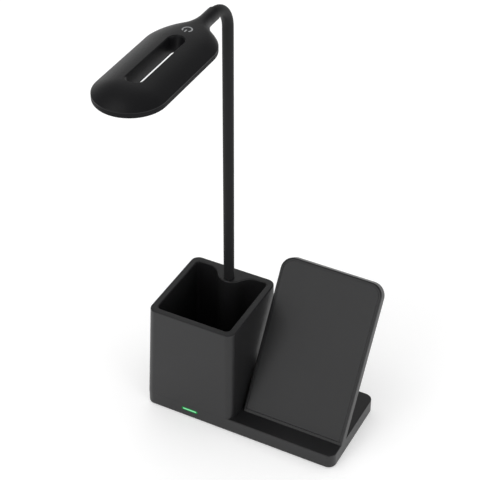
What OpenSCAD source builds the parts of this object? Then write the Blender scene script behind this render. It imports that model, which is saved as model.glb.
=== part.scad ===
// Gooseneck desk lamp on a base that holds a pen cup and an inclined wireless
// charging stand for a phone. Millimetres, +Z up, front towards -Y.
// The origin is the middle of the anti-slip pad's underside, on the desk.

/* [Base] */
// Width of the base from side to side
base_w = 140; // [134:1:160]
// Depth of the base from front to back
base_d = 66; // [62:1:76]
// Height of the base casing, without the pad under it
base_h = 10.4; // [10:0.2:14]
// Radius of the upright corners of base and cup
corner_r = 5.6; // [4:0.2:8]
// Thickness of the casing walls and of the deck
wall = 2.4; // [2:0.1:3]
// Thickness of the bottom cover
cover_t = 1.8; // [1.4:0.1:2.2]
// Thickness of the anti-slip pad
pad_t = 1.3; // [1:0.1:2]
// Depth of the recess that the pad is glued into
pad_recess = 0.5; // [0.3:0.1:0.8]
// Distance from the base's edge to the pad's edge
pad_margin = 7; // [6:0.5:12]

/* [Pen cup] */
// Width of the cup at its foot
cup_w = 66; // [62:1:70]
// Height of the rim above the base's lower edge
cup_h = 82.8; // [60:1:110]
// Thickness of the cup's rim
rim_wall = 4.5; // [3:0.1:5]
// How far the outer side wall leans in at the rim
lean_outer = 3.4; // [0:0.2:4]
// How far the wall beside the phone leans in at the rim
lean_inner = 0.6; // [0:0.2:3]
// How far the front and back walls lean in at the rim
lean_front = 0.7; // [0:0.1:2]
// Radius of the bulge that carries the neck
bulge_r = 10; // [8:0.5:11]
// Thickness of the bulge in front of the neck
bulge_wall = 1.4; // [1.2:0.1:2]
// Radius of the hollow fillets beside the bulge
bulge_fillet = 12; // [8:0.5:14]

/* [Phone stand] */
// Width of the inclined plate
stand_w = 72.4; // [66:0.2:73]
// Length of the plate's face above the deck
stand_len = 109.4; // [90:1:130]
// Thickness of the plate
stand_t = 7.3; // [6.8:0.1:9]
// Tilt of the plate from the horizontal, in degrees
stand_tilt = 58; // [50:1:70]
// Depth of the ledge in front of the plate
ledge = 12.6; // [10:0.2:16]
// Radius of the plate's top corners
stand_corner = 9; // [4:0.5:14]
// Thickness of the front panel
panel_t = 2; // [1.6:0.1:2.4]
// Width of the rim around the front panel
panel_rim = 1.8; // [1.4:0.1:3]

/* [Neck] */
// Diameter of the silicone sleeve
neck_d = 7.1; // [6:0.1:8]
// Distance from the cup's outer side to the neck's axis at the foot
neck_inset_x = 35; // [30:0.5:38]
// Distance from the base's back to the neck's axis
neck_inset_y = 11.2; // [10.5:0.1:13]
// Height of the straight neck above the rim
neck_rise = 191.4; // [150:0.2:230]
// Radius of the bend at the top, on the neck's axis
bend_r = 17.4; // [14:0.2:24]
// Diameter of the metal hose inside the sleeve
hose_d = 5.4; // [4.8:0.1:5.8]
// Diameter of the wire channel through the hose
wire_d = 2; // [1.5:0.1:2.4]
// Gap that lets the sleeve's sections bend
bend_gap = 1.8; // [1.6:0.1:2.4]
// Gap that lets the sleeve bend where the head tilts
tilt_gap = 2.6; // [2.4:0.1:3.2]

/* [Lamp head] */
// Length of the oval head
head_len = 96.5; // [80:0.5:120]
// Width of the oval head
head_w = 43.5; // [38:0.5:50]
// Height of the bezel around the underside
bezel_h = 3.1; // [2.8:0.1:4]
// Rise of the domed shell above the bezel
dome_rise = 6.9; // [6:0.1:9]
// Height of the shell's upright edge above the bezel
shell_edge = 0.5; // [0.3:0.1:1]
// Length of the slot through the head
slot_len = 55.2; // [40:0.2:60]
// Width of the slot through the head
slot_w = 11.2; // [8:0.2:14]
// How far each wall of the slot comes in at the underside
slot_draft = 0.6; // [0:0.1:1.4]
// Thickness of the head's walls
head_wall = 1.8; // [1.4:0.1:2.2]
// Diameter of the collar that takes the neck's end
collar_d = 8.6; // [8.2:0.1:10]
// Distance from the neck's end to the oval
collar_len = 18.2; // [15:0.2:24]
// Radius of the hollow fillets between collar and oval
flare_r = 15; // [10:0.5:18]
// Drop of the head's underside below the neck's axis
head_drop = 4.4; // [4.4:0.1:5.2]

/* [Electronics] */
// Thickness of the circuit boards
board_t = 1.2; // [0.8:0.1:1.4]
// Outer diameter of the charging coil
coil_d = 46; // [36:1:50]
// Inner diameter of the charging coil
coil_bore = 20; // [16:1:24]
// Thickness of the coil
coil_t = 1.1; // [0.8:0.1:1.3]
// Thickness of the ferrite sheet behind the coil
ferrite_t = 0.8; // [0.5:0.1:1]
// Length of the indicator window
window_w = 12; // [8:0.5:16]
// Height of the indicator window
window_h = 2.2; // [1.6:0.1:2.6]

/* [Fasteners] */
// Diameter of the screws' shanks
screw_d = 2.2; // [1.8:0.1:2.6]
// Diameter of the screws' heads
screw_head_d = 4; // [3.6:0.1:4.4]
// Diameter of the screw bosses
boss_d = 5.2; // [4.8:0.1:6]

/* [Hidden] */
$fn = 72;

casing_colour = "#3c3c3e";
sleeve_colour = "#2b2b2d";
bezel_colour = "#4a4a4d";
steel_colour = "#b9bcc0";
brass_colour = "#c8a250";
board_colour = "#1f5d3a";
chip_colour = "#222222";
copper_colour = "#b8703a";
ferrite_colour = "#4b4a48";
lens_colour = "#58f0a0";
milk_colour = "#f4f4ee";
lamp_colour = "#f2dd6a";

fit = 0.15;                       // gap round a piece that drops into a recess
slide = 0.3;                      // gap between pieces that move apart
snug = 0.05;                      // gap of a bore round the piece it holds
over = 1;                         // extra length of a cut past its face
layer = 0.01;                     // thickness of a section inside a hull

// Levels
base_z = pad_t - pad_recess;
deck_z = base_z + base_h;
ceiling_z = deck_z - wall;
floor_z = base_z + cover_t;
rim_z = base_z + cup_h;
bend_z = rim_z + neck_rise;
axis_z = bend_z + bend_r;

// Neck position
neck_x = -base_w / 2 + neck_inset_x;
neck_y = base_d / 2 - neck_inset_y;
neck_r = neck_d / 2;
hose_r = hose_d / 2;
ball_r = hose_r - 0.5;
socket_r = ball_r + slide;
neck_len = bend_z - rim_z;
pivot_step = neck_len / 4.25;
pivot_z = [for (i = [0:3]) rim_z + pivot_step * (i + 0.6)];
tilt_a = 45;                      // the head tilts at the middle of the bend
seat_drop = 0.6;                  // a hose section starts this far above its ball
hose_step = 3;                    // length of the thinner hose below each ball
shaft_depth = 40;                 // how deep the sleeve stands in the bulge
shaft_z = rim_z - shaft_depth;
shaft_r = neck_r + fit;
stem_r = 2.4;                     // threaded stem of the ferrule
stem_below = 0.8;                 // how far the stem stands out of its nut
ferrule_h = 10;
hose_foot = 4;                    // height of the hose's foot in the ferrule
nut_af = 7;
nut_h = 2.2;
nut_z = ceiling_z - nut_h;

// Phone stand: the local frame has X across, Y up the slope and Z out of the face
stand_x = base_w / 2 - stand_w / 2;
stand_y = -base_d / 2 + ledge;
tray_t = stand_t - panel_t;
tray_floor = wall - 0.4;
coil_up = stand_len * 0.52;
ferrite_w = coil_d + 4;
ferrite_r = 5;
charger_size = [40, 16];
charger_chip = [6, 6, 1];
charger_chip_step = 12;
stand_screw_in = 12;
stand_screw_up = [stand_screw_in, stand_len - stand_screw_in];
// The charger's board lies above the lower boss and close below the ferrite
charger_up = charger_size[1] / 2 + max(
    stand_screw_in + boss_d / 2 + over, coil_up - ferrite_w / 2 - slide - charger_size[1]);
wire_way = 8;                     // width of the way from the base into the plate

// Head: the local frame has its origin on the neck's axis at the bend's end,
// with Y pointing backwards into the neck
head_y = neck_y - bend_r;
oval_back = -collar_len;
oval_mid = oval_back - head_len / 2;
oval_half = (head_len - head_w) / 2;
oval_rear = oval_mid + oval_half;
bottom_z = -head_drop;
seam_z = bottom_z + bezel_h;
half_w = head_w / 2;
dome_sag = dome_rise - shell_edge;
dome_r = (half_w * half_w + dome_sag * dome_sag) / (2 * dome_sag);
dome_z = seam_z + dome_rise - dome_r;
collar_r = collar_d / 2;
bush_r = hose_r + 0.5;
bush_len = 14;
slot_back = oval_mid + slot_len / 2;
rear_boss_in = 6;
head_boss_y = [oval_mid - (head_len + slot_len) / 4, oval_back - rear_boss_in];
head_hole = 3.4;                  // depth of the screw holes in the head's bosses
head_screw_len = 4.4;
head_screw_h = 0.45;
touch_in = 7;
touch_y = slot_back + touch_in;
lip = 1;
lip_t = 0.5;
diffuser_t = 1;
led_board_t = 0.9;
led_board_z = seam_z - led_board_t;
led_size = [2.8, 3.5, 0.5];
touch_size = [7, 0.8];
touch_drop = 4;
led_count = 8;
led_track = (head_w / 2 + slot_w / 2) / 2;

// Base interior
cover_fit_w = base_w - 2 * wall;
cover_fit_d = base_d - 2 * wall;
boss_in = wall * 1.25 + boss_d / 2;
boss_spots = [for (sx = [-1, 1], sy = [-1, 1])
    [sx * (base_w / 2 - boss_in), sy * (base_d / 2 - boss_in)]];
cover_hole = 5.4;                 // depth of the screw holes under the deck
cover_screw_len = 6;
screw_drive = 0.6;                // width of the cross recess in a screw's head
post_d = 3.4;
board_gap = 1;                    // height of the board above the cover
board_z = floor_z + board_gap;
board_size = [44, 54];
board_x = neck_x - 1;
board_y = 1;
post_in = [4, 5];                 // place of the posts from the board's edges
post_spots = [for (sx = [-1, 1], sy = [-1, 1])
    [board_x + sx * (board_size[0] / 2 - post_in[0]), board_y + sy * (board_size[1] / 2 - post_in[1])]];

// Parts on the control board, placed from its middle
chip_at = [-9, -3];
chip_size = [7, 7, 1.2];
choke_at = [8, 2];
choke_size = [8, 8, 2.4];
choke_r = 1.5;
driver_at = [10, -13];
driver_size = [5, 4, 1];
capacitor_at = [-14, -15];
capacitor_d = 5;
capacitor_h = 2.6;
status_led_in = 2;
status_led_size = [3.5, 2.8, 1];

// Openings in the base's sides
usb_size = [9, 7.4, 3.2];
usb_shell = 0.35;                 // thickness of the socket's metal shell
usb_back = 1;
usb_tongue = [6.5, 0.7, 4.5];
usb_in = 8;                       // place of the socket from the board's edge
usb_x = board_x - board_size[0] / 2 + usb_in;
usb_y = base_d / 2 - wall * 0.4;
usb_z = board_z + board_t + usb_size[2] / 2;
window_x = neck_x - 1.4;
window_z = base_z + 5.9;
window_depth = wall * 1.5;
window_flange = [2, 1, 1.2];      // how far the flange is wider and taller, and its thickness
ballast_size = [56, 44, 4];
ballast_r = 3;
ballast_x = stand_x;

// A rectangle with round corners, centred
module round_rect(w, d, r) {
    square([w - 2 * r, d], center = true);
    square([w, d - 2 * r], center = true);
    for (sx = [-1, 1], sy = [-1, 1])
        translate([sx * (w / 2 - r), sy * (d / 2 - r)]) circle(r);
}

// An oval with half-round ends, long along Y
module oval(len, w) {
    square([w, len - w], center = true);
    for (s = [-1, 1]) translate([0, s * (len - w) / 2]) circle(d = w);
}

// A flat box that stands on its middle
module box(size) {
    linear_extrude(size[2]) square([size[0], size[1]], center = true);
}

// ---------- casing ----------

// One level of the cup, drawn in by the wall's lean and by a uniform inset
module cup_level(share, inset) {
    left = -base_w / 2 + lean_outer * share + inset;
    right = -base_w / 2 + cup_w - lean_inner * share - inset;
    depth = base_d - 2 * lean_front * share - 2 * inset;
    translate([(left + right) / 2, 0])
        linear_extrude(layer) round_rect(right - left, depth, corner_r - inset * 0.55);
}

module cup_outside() {
    hull() {
        translate([0, 0, ceiling_z]) cup_level(0, 0);
        translate([0, 0, rim_z - layer]) cup_level(1, 0);
    }
}

module cup_inside() {
    difference() {
        hull() {
            translate([0, 0, deck_z]) cup_level(0, rim_wall);
            translate([0, 0, rim_z + over]) cup_level(1, rim_wall);
        }
        translate([neck_x, neck_y, deck_z - over]) linear_extrude(cup_h + over) bulge();
    }
}

// Plan of the bulge: a round nose with hollow fillets into the back wall
module bulge() {
    back = base_d / 2 - lean_front - rim_wall - neck_y;
    nose_y = bulge_r - neck_r - bulge_wall;
    fillet_y = back - bulge_fillet;
    fillet_x = sqrt(pow(bulge_r + bulge_fillet, 2) - pow(nose_y - fillet_y, 2));
    translate([0, nose_y]) circle(bulge_r);
    difference() {
        touch = bulge_r / (bulge_r + bulge_fillet);
        translate([0, nose_y + (fillet_y - nose_y) * touch])
            translate([-fillet_x, 0]) square([2 * fillet_x, 2 * bulge_r]);
        for (s = [-1, 1]) translate([s * fillet_x, fillet_y]) circle(bulge_fillet);
    }
}

// Places its children in the stand's frame, on the deck at the plate's face
module on_stand() {
    translate([stand_x, stand_y, deck_z]) rotate([stand_tilt, 0, 0]) children();
}

// Plan of the plate, square below and round above, drawn in by an inset
module plate_plan(inset, low) {
    w = stand_w - 2 * inset;
    r = stand_corner - inset * 0.55;
    top = stand_len - inset;
    translate([-w / 2, low]) square([w, top - r - low]);
    translate([-w / 2 + r, low]) square([w - 2 * r, top - low]);
    for (s = [-1, 1]) translate([s * (w / 2 - r), top - r]) circle(r);
}

module stand_outside() {
    root = stand_t / tan(stand_tilt) + wall / sin(stand_tilt);
    intersection() {
        on_stand() translate([0, 0, -stand_t]) linear_extrude(stand_t) plate_plan(0, -root);
        translate([-base_w / 2, -base_d, ceiling_z])
            cube([base_w, 3 * base_d, stand_len + base_h]);
    }
}

// The tray behind the front panel, with ribs and screw bosses
module stand_inside() {
    on_stand() {
        translate([0, 0, -panel_t]) linear_extrude(panel_t + over) plate_plan(panel_rim, panel_rim);
        difference() {
            translate([0, 0, -stand_t + tray_floor])
                linear_extrude(tray_t) plate_plan(panel_rim + wall * 0.8, panel_rim + wall);
            for (up = stand_screw_up) translate([0, up, -stand_t]) cylinder(d = boss_d, h = stand_t);
        }
        for (up = stand_screw_up) translate([0, up, -stand_t - over]) {
            cylinder(d = screw_d + 2 * fit, h = stand_t);
            cylinder(d = screw_head_d + 2 * fit, h = over + screw_head_d * 0.5);
        }
    }
}

module base_inside() {
    translate([0, 0, base_z - over]) linear_extrude(cover_t + over)
        round_rect(cover_fit_w, cover_fit_d, corner_r - wall * 0.55);
    difference() {
        translate([0, 0, base_z]) linear_extrude(ceiling_z - base_z)
            round_rect(cover_fit_w - wall, cover_fit_d - wall, corner_r - wall);
        for (p = boss_spots) translate([p[0], p[1], floor_z]) cylinder(d = boss_d, h = base_h);
    }
}

module housing() {
    color(casing_colour) difference() {
        union() {
            translate([0, 0, base_z]) linear_extrude(base_h) round_rect(base_w, base_d, corner_r);
            cup_outside();
            stand_outside();
        }
        base_inside();
        cup_inside();
        stand_inside();
        // wire way from the base into the stand
        on_stand() translate([-wire_way / 2, -wall * 2, -stand_t + tray_floor])
            cube([wire_way, wall * 3 + panel_rim + over, tray_t - over]);
        // shaft for the neck, with the ferrule's stem below it
        translate([neck_x, neck_y, shaft_z]) cylinder(r = shaft_r, h = shaft_depth + over);
        translate([neck_x, neck_y, ceiling_z - over])
            cylinder(r = stem_r + fit, h = shaft_z - ceiling_z + 2 * over);
        // screw holes under the deck
        for (p = boss_spots) translate([p[0], p[1], floor_z - over])
            cylinder(d = screw_d, h = over + cover_hole);
        // charging port and indicator window
        translate([usb_x, base_d / 2 + over, usb_z]) rotate([90, 0, 0])
            linear_extrude(wall * 2 + over) rotate(90) oval(usb_size[0] + 2 * fit, usb_size[2] + 2 * fit);
        translate([window_x, -base_d / 2 - over, window_z]) rotate([-90, 0, 0])
            linear_extrude(wall * 2 + over) rotate(90) oval(window_w + 2 * fit, window_h + 2 * fit);
    }
}

module bottom_cover() {
    color(casing_colour) difference() {
        translate([0, 0, base_z]) linear_extrude(cover_t)
            round_rect(cover_fit_w - 2 * fit, cover_fit_d - 2 * fit, corner_r - wall * 0.55);
        translate([0, 0, base_z - over]) linear_extrude(pad_recess + over) pad_plan(fit);
        for (p = boss_spots) translate([p[0], p[1], base_z - over]) {
            cylinder(d = screw_d + 2 * fit, h = cover_t + 2 * over);
            cylinder(d = screw_head_d + 2 * fit, h = over + cover_t / 2);
        }
    }
    color(casing_colour) for (p = post_spots)
        translate([p[0], p[1], floor_z]) cylinder(d = post_d, h = board_gap);
}

module pad_plan(grow) {
    round_rect(base_w - 2 * pad_margin - 4 * screw_head_d + 2 * grow,
        base_d - 2 * pad_margin + 2 * grow, corner_r);
}

module antislip_pad() {
    color(sleeve_colour) linear_extrude(pad_t) pad_plan(0);
}

// A pan-head screw that points up, with a cross recess in its head
module screw(len, head_h) {
    difference() {
        union() {
            cylinder(d = screw_head_d, h = head_h);
            cylinder(d = screw_d - 0.1, h = len);
        }
        for (a = [0, 90]) rotate(a) translate([0, 0, -over])
            box([screw_head_d * 0.6, screw_drive, over + head_h * 0.6]);
    }
}

module cover_screws() {
    color(steel_colour) for (p = boss_spots)
        translate([p[0], p[1], base_z + fit]) screw(cover_screw_len, cover_t / 2 - fit);
}

module ballast_plate() {
    color(steel_colour) translate([ballast_x, 0, floor_z]) linear_extrude(ballast_size[2])
        round_rect(ballast_size[0], ballast_size[1], ballast_r);
}

module control_board() {
    color(board_colour) translate([board_x, board_y, board_z]) linear_extrude(board_t)
        square(board_size, center = true);
}

// Places its children on the control board, from its middle
module on_board(at) {
    translate([board_x + at[0], board_y + at[1], board_z + board_t]) children();
}

module board_parts() {
    color(chip_colour) {
        on_board(chip_at) box(chip_size);
        on_board(driver_at) box(driver_size);
        on_board(choke_at) linear_extrude(choke_size[2])
            round_rect(choke_size[0], choke_size[1], choke_r);
        on_board(capacitor_at) cylinder(d = capacitor_d, h = capacitor_h);
    }
    color(milk_colour) on_board([window_x - board_x, status_led_in - board_size[1] / 2])
        box(status_led_size);
}

module usb_socket() {
    color(steel_colour) translate([usb_x, usb_y, usb_z]) rotate([90, 0, 0]) difference() {
        linear_extrude(usb_size[1]) rotate(90) oval(usb_size[0], usb_size[2]);
        translate([0, 0, -over]) linear_extrude(usb_size[1] - usb_back + over)
            rotate(90) oval(usb_size[0] - 2 * usb_shell, usb_size[2] - 2 * usb_shell);
    }
    color(chip_colour) translate([usb_x, usb_y - usb_size[1] + usb_back, usb_z])
        rotate([-90, 0, 0]) box(usb_tongue);
}

module indicator_window() {
    color(lens_colour) translate([window_x, -base_d / 2, window_z]) rotate([-90, 0, 0]) {
        linear_extrude(window_depth) rotate(90) oval(window_w, window_h);
        translate([0, 0, window_depth]) linear_extrude(window_flange[2])
            rotate(90) oval(window_w + window_flange[0], window_h + window_flange[1]);
    }
}

// ---------- phone stand ----------

module charging_panel() {
    color(casing_colour) on_stand() {
        difference() {
            translate([0, 0, -panel_t]) linear_extrude(panel_t)
                plate_plan(panel_rim + fit, panel_rim + fit);
            for (up = stand_screw_up) translate([0, up, -panel_t - over])
                cylinder(d = screw_d, h = over + panel_t * 0.6);
        }
    }
}

module charging_coil() {
    color(copper_colour) on_stand() translate([0, coil_up, -panel_t - coil_t]) difference() {
        cylinder(d = coil_d, h = coil_t);
        translate([0, 0, -over]) cylinder(d = coil_bore, h = coil_t + 2 * over);
    }
}

module ferrite_sheet() {
    color(ferrite_colour) on_stand() translate([0, coil_up, -panel_t - coil_t - ferrite_t])
        linear_extrude(ferrite_t) round_rect(ferrite_w, ferrite_w, ferrite_r);
}

module charger_board() {
    at = [0, charger_up, -stand_t + tray_floor];
    color(board_colour) on_stand() translate(at) box([charger_size[0], charger_size[1], board_t]);
    color(chip_colour) on_stand() for (s = [-1:1])
        translate(at + [s * charger_chip_step, 0, board_t]) box(charger_chip);
}

module panel_screws() {
    color(steel_colour) on_stand() for (up = stand_screw_up)
        translate([0, up, -stand_t + 0.2]) screw(stand_t - panel_t * 0.5 - 0.2, screw_head_d * 0.4);
}

// ---------- neck ----------

module at_neck(z) {
    translate([neck_x, neck_y, z]) children();
}

module neck_ferrule() {
    color(brass_colour) difference() {
        union() {
            at_neck(shaft_z) cylinder(r = neck_r, h = ferrule_h);
            at_neck(nut_z - stem_below) cylinder(r = stem_r, h = shaft_z - nut_z + stem_below);
        }
        at_neck(base_z) cylinder(d = wire_d, h = shaft_z + ferrule_h);
        at_neck(shaft_z + hose_foot) cylinder(r = hose_r + snug, h = ferrule_h);
    }
}

module neck_nut() {
    color(steel_colour) difference() {
        at_neck(nut_z) cylinder(d = nut_af / cos(30), h = nut_h, $fn = 6);
        at_neck(nut_z - over) cylinder(r = stem_r + snug, h = nut_h + 2 * over);
    }
}

// A length of hose: a round seat at its foot and a ball at its top
module hose_link(low, high, seat) {
    difference() {
        union() {
            translate([0, 0, low]) cylinder(r = hose_r, h = high - low - hose_step);
            translate([0, 0, low]) cylinder(r = ball_r, h = high - low);
            translate([0, 0, high]) sphere(ball_r);
        }
        if (seat) translate([0, 0, low - seat_drop]) sphere(socket_r);
        translate([0, 0, low - ball_r]) cylinder(d = wire_d, h = high - low + 3 * ball_r);
    }
}

module sleeve_tube(low, high) {
    difference() {
        translate([0, 0, low]) cylinder(r = neck_r, h = high - low);
        translate([0, 0, low - over]) cylinder(r = hose_r + snug, h = high - low + 2 * over);
    }
}

// A part of the bend from angle a to angle b, where 0 is the bend's foot
module bend(r, a, b) {
    translate([0, -bend_r, 0]) rotate([0, 90, 0]) rotate([0, 0, 90])
        rotate_extrude(angle = b - a, start = a) translate([bend_r, 0]) circle(r);
}

module hose_root() {
    color(steel_colour) at_neck(0) hose_link(shaft_z + hose_foot, pivot_z[0], false);
}

module sleeve_root() {
    color(sleeve_colour) at_neck(0) sleeve_tube(shaft_z + ferrule_h, pivot_z[0] - bend_gap / 2);
}

module hose_section(i) {
    color(steel_colour) at_neck(0) hose_link(pivot_z[i - 1] + seat_drop, pivot_z[i], true);
}

module sleeve_section(i) {
    color(sleeve_colour) at_neck(0)
        sleeve_tube(pivot_z[i - 1] + bend_gap / 2, pivot_z[i] - bend_gap / 2);
}

module hose_1() hose_section(1);
module sleeve_1() sleeve_section(1);
module hose_2() hose_section(2);
module sleeve_2() sleeve_section(2);
module hose_3() hose_section(3);
module sleeve_3() sleeve_section(3);

// Places its children at the tilt pivot, turned along the bend
module at_tilt() {
    at_neck(bend_z) translate([0, -bend_r * (1 - cos(tilt_a)), bend_r * sin(tilt_a)])
        rotate([tilt_a, 0, 0]) children();
}

// The gap angle that leaves the sleeve room to bend at the tilt pivot
half_gap_a = tilt_gap / 2 / bend_r * 180 / PI;
seat_a = seat_drop / bend_r * 180 / PI;
neck_a = hose_step / bend_r * 180 / PI;

module hose_4() {
    color(steel_colour) difference() {
        union() {
            at_neck(pivot_z[3] + seat_drop)
                cylinder(r = hose_r, h = bend_z - pivot_z[3] - seat_drop + layer);
            at_neck(bend_z) bend(hose_r, 0, tilt_a - neck_a);
            at_neck(bend_z) bend(ball_r, tilt_a - 2 * neck_a, tilt_a);
            at_tilt() sphere(ball_r);
        }
        at_neck(pivot_z[3]) sphere(socket_r);
        at_neck(pivot_z[3] - over) cylinder(d = wire_d, h = bend_z - pivot_z[3] + over + layer);
        at_neck(bend_z) bend(wire_d / 2, 0, tilt_a + neck_a);
    }
}

module sleeve_4() {
    color(sleeve_colour) difference() {
        union() {
            at_neck(pivot_z[3] + bend_gap / 2)
                cylinder(r = neck_r, h = bend_z - pivot_z[3] - bend_gap / 2 + layer);
            at_neck(bend_z) bend(neck_r, 0, tilt_a - half_gap_a);
        }
        at_neck(pivot_z[3]) cylinder(r = hose_r + snug, h = bend_z - pivot_z[3] + layer);
        at_neck(bend_z) bend(hose_r + snug, 0, tilt_a);
    }
}

// ---------- lamp head ----------

// Places its children in the head's frame
module on_head() {
    translate([neck_x, head_y, axis_z]) children();
}

module hose_head() {
    color(steel_colour) difference() {
        union() {
            at_neck(bend_z) bend(hose_r, tilt_a + seat_a, 90);
            on_head() rotate([90, 0, 0]) cylinder(r = hose_r, h = bush_len);
        }
        at_tilt() sphere(socket_r);
        at_neck(bend_z) bend(wire_d / 2, tilt_a, 90);
        on_head() rotate([90, 0, 0]) cylinder(d = wire_d, h = bush_len + over);
    }
}

module sleeve_head() {
    color(sleeve_colour) difference() {
        at_neck(bend_z) bend(neck_r, tilt_a + half_gap_a, 90);
        at_neck(bend_z) bend(hose_r + snug, tilt_a, 90);
    }
}

module head_bush() {
    color(brass_colour) on_head() rotate([90, 0, 0]) difference() {
        cylinder(r = bush_r, h = bush_len);
        translate([0, 0, -over]) cylinder(r = hose_r + snug, h = bush_len + 2 * over);
    }
}

module head_oval(inset, low, high) {
    translate([0, oval_mid, low]) linear_extrude(high - low)
        oval(head_len - 2 * inset, head_w - 2 * inset);
}

module head_slot(grow, low, high) {
    translate([0, oval_mid, low]) linear_extrude(high - low)
        oval(slot_len + 2 * grow, slot_w + 2 * grow);
}

// The slot itself, whose walls come in towards the underside
module slot_cut() {
    tall = dome_rise + bezel_h;
    spread = slot_draft / tall * over;
    hull() {
        head_slot(-slot_draft - spread, bottom_z - over, bottom_z - over + layer);
        head_slot(spread, bottom_z + tall + over, bottom_z + tall + over + layer);
    }
}

// Cross-section of the dome: an arch on short upright edges
module dome_profile(inset, low) {
    w = half_w - inset;
    intersection() {
        translate([0, dome_z]) circle(dome_r - inset);
        translate([-w, low]) square([2 * w, dome_z + dome_r - low]);
    }
}

// The dome: the arch along the oval, turned about the oval's centre at each end
module dome(inset, low) {
    translate([0, oval_mid + oval_half, 0]) rotate([90, 0, 0])
        linear_extrude(2 * oval_half) dome_profile(inset, low);
    for (s = [-1, 1]) translate([0, oval_mid + s * oval_half, 0]) rotate(s > 0 ? 0 : 180)
        rotate_extrude(angle = 180) intersection() {
            dome_profile(inset, low);
            translate([0, low]) square([half_w, dome_z + dome_r - low]);
        }
}

// Half-width of the flare at a distance behind the oval's rear centre
flare_x = collar_r + flare_r;
flare_y = sqrt(pow(half_w + flare_r, 2) - flare_x * flare_x);
flare_touch = flare_y * half_w / (half_w + flare_r);
function flare_half(v) = v >= flare_y ? collar_r
    : v <= flare_touch ? flare_x * half_w / (half_w + flare_r)
    : flare_x - sqrt(flare_r * flare_r - pow(flare_y - v, 2));

// The flare between collar and dome is lofted through elliptic sections
flare_steps = 10;
flare_sides = 40;
flare_start = flare_touch * 0.4;
function flare_v(i) = flare_start + (flare_y - flare_start) * i / flare_steps;
function flare_ring(v) = let (
        w = flare_half(v) + snug,
        tall = collar_r + snug,
        share = max(0, (flare_y - v) / (flare_y - flare_touch)),
        mid = min(1, share) * seam_z * 0.6)
    [for (k = [0:flare_sides - 1]) let (a = 360 * k / flare_sides)
        [w * cos(a), oval_rear + v, mid + (sin(a) > 0 ? tall - mid : tall + mid) * sin(a)]];

module flare() {
    rings = [for (i = [0:flare_steps]) flare_ring(flare_v(i))];
    points = [for (ring = rings) each ring];
    n = flare_sides;
    last = flare_steps * n;
    sides = [for (i = [0:flare_steps - 1], k = [0:n - 1]) let (
            a = i * n + k, b = i * n + (k + 1) % n)
        each [[a, b, b + n], [a, b + n, a + n]]];
    polyhedron(points, concat(sides, [[for (k = [n - 1:-1:0]) k]], [[for (k = [0:n - 1]) last + k]]));
}

module head_shell() {
    color(casing_colour) on_head() difference() {
        union() {
            dome(0, seam_z);
            flare();
            rotate([90, 0, 0]) cylinder(r = collar_r, h = over - (oval_rear + flare_y));
            head_slot(head_wall, bottom_z, seam_z + layer);
        }
        slot_cut();
        // room for the bezel and what it holds
        difference() {
            head_oval(-fit, bottom_z - over, seam_z);
            head_slot(head_wall, bottom_z - 2 * over, seam_z + over);
        }
        // hollow under the dome, with a wall round the slot and two bosses
        difference() {
            dome(head_wall, seam_z - over);
            head_slot(head_wall, seam_z - 2 * over, dome_z + dome_r);
            for (y = head_boss_y) translate([0, y, seam_z]) cylinder(d = boss_d, h = dome_rise);
        }
        for (y = head_boss_y) translate([0, y, seam_z - over]) cylinder(d = screw_d, h = over + head_hole);
        rotate([90, 0, 0]) translate([0, 0, -over]) cylinder(r = bush_r + snug, h = bush_len + over);
        rotate([90, 0, 0]) cylinder(d = wire_d + 1, h = collar_len + head_wall + 2 * over);
    }
}

// The bezel: a ring with a lip that the diffuser lies on
module head_bezel() {
    color(bezel_colour) on_head() difference() {
        head_oval(0, bottom_z, seam_z);
        head_oval(head_wall + lip, bottom_z - over, seam_z);
        head_oval(head_wall, bottom_z + lip_t, seam_z + over);
    }
}

module diffuser() {
    color(milk_colour) on_head() difference() {
        head_oval(head_wall + fit, bottom_z + lip_t, bottom_z + lip_t + diffuser_t);
        head_slot(head_wall + fit, bottom_z - over, seam_z + over);
    }
}

module led_board() {
    color(board_colour) on_head() difference() {
        head_oval(head_wall + slide, led_board_z, led_board_z + led_board_t);
        head_slot(head_wall + slide, led_board_z - over, seam_z + over);
        for (y = head_boss_y) translate([0, y, led_board_z - over])
            cylinder(d = screw_d + 2 * fit, h = 3 * over);
    }
}

module leds() {
    color(lamp_colour) on_head() for (s = [-1, 1], i = [0:led_count - 1])
        translate([s * led_track, oval_mid + oval_half * (2 * i / (led_count - 1) - 1),
            led_board_z - led_size[2]]) box(led_size);
}

module touch_board() {
    color(board_colour) on_head() translate([0, touch_y, seam_z + dome_rise - touch_drop - touch_size[1]])
        cylinder(d = touch_size[0], h = touch_size[1]);
}

// Low-headed screws that hold the light board to the shell's bosses
module head_screws() {
    color(steel_colour) on_head() for (y = head_boss_y)
        translate([0, y, led_board_z - head_screw_h]) screw(head_screw_len, head_screw_h);
}

housing();
bottom_cover();
antislip_pad();
cover_screws();
ballast_plate();
control_board();
board_parts();
usb_socket();
indicator_window();
charging_panel();
charging_coil();
ferrite_sheet();
charger_board();
panel_screws();
neck_ferrule();
neck_nut();
hose_root();
sleeve_root();
hose_1();
sleeve_1();
hose_2();
sleeve_2();
hose_3();
sleeve_3();
hose_4();
sleeve_4();
hose_head();
sleeve_head();
head_shell();
head_bezel();
diffuser();
led_board();
leds();
touch_board();
head_screws();
head_bush();
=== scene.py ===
"""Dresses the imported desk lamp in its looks.

A moulded base carries a pen cup and a sloping charging plate, a sleeved
gooseneck rises out of the cup's back wall, and an oval lamp head with a slot
hangs from it. Each class holds the sizes of one sub-assembly in millimetres,
shapes its meshes with bmesh operators and dresses them in their finishes.
"""

import logging
import math
from dataclasses import dataclass
from enum import Enum
from typing import Callable, Iterable, Mapping, Optional, Sequence

import bmesh
import bpy
from mathutils import Matrix, Vector


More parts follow.
